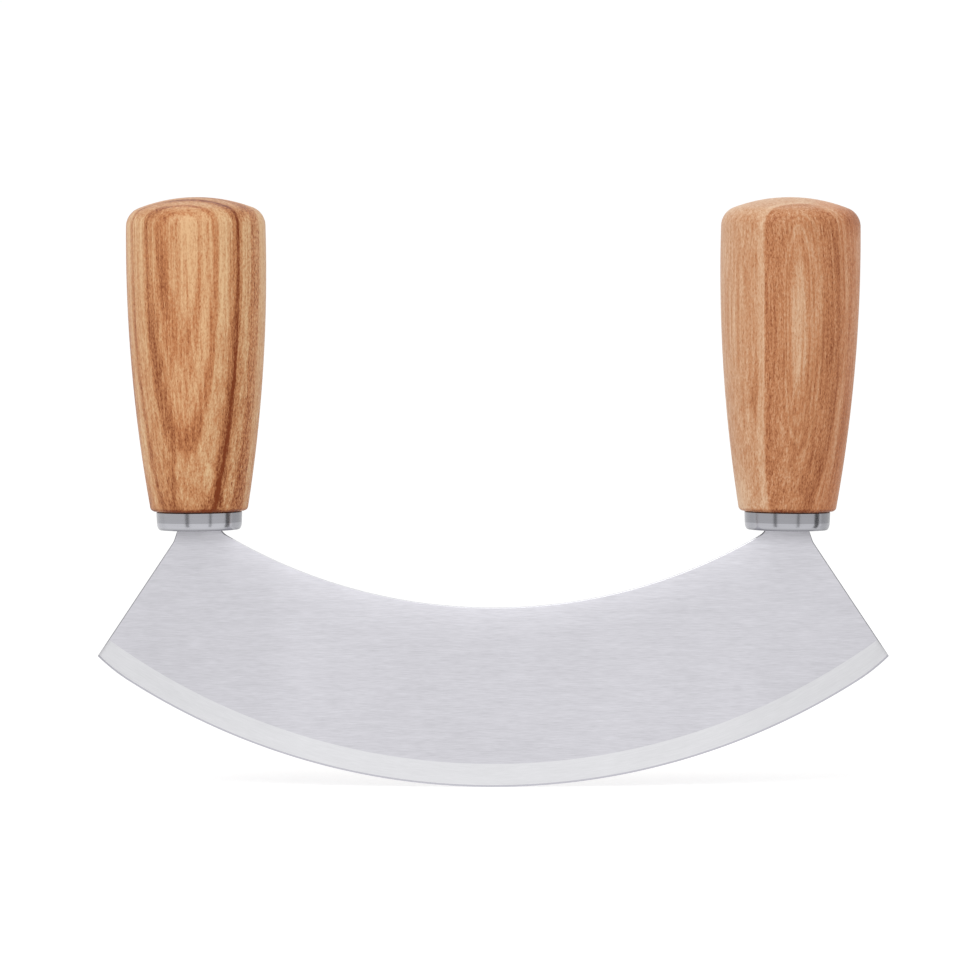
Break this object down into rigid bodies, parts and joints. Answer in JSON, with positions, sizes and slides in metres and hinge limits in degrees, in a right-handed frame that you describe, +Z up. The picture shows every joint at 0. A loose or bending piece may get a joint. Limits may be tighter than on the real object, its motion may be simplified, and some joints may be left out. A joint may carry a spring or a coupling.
{
  "type": "mezzaluna",
  "caption": "Crescent-shaped rocking blade with an upright turned wooden handle and a steel ferrule near each tip.",
  "frame": {"origin": "under the middle of the blade, level with the lowest point of the cutting edge, at the bottom centre of the whole object's box", "axes": "+X along the blade towards its right tip, +Y away from the user, +Z up towards the handles"},
  "size_m": [0.2, 0.0352, 0.1491],
  "materials": {
    "blade_steel": "fine straight brushed lines along the blade, smoother on the ground bevel",
    "ferrule_steel": "satin turned steel",
    "handle_wood": "oiled fruitwood, warm tan with brown growth rings",
    "cured_resin": "hard cured resin, hidden inside the handle"
  },
  "bodies": {
    "root": {"blade": "blade_steel", "left_ferrule": "ferrule_steel", "right_ferrule": "ferrule_steel", "left_handle": "handle_wood", "right_handle": "handle_wood", "left_tang_adhesive": "cured_resin", "right_tang_adhesive": "cured_resin"}
  },
  "joints": []
}
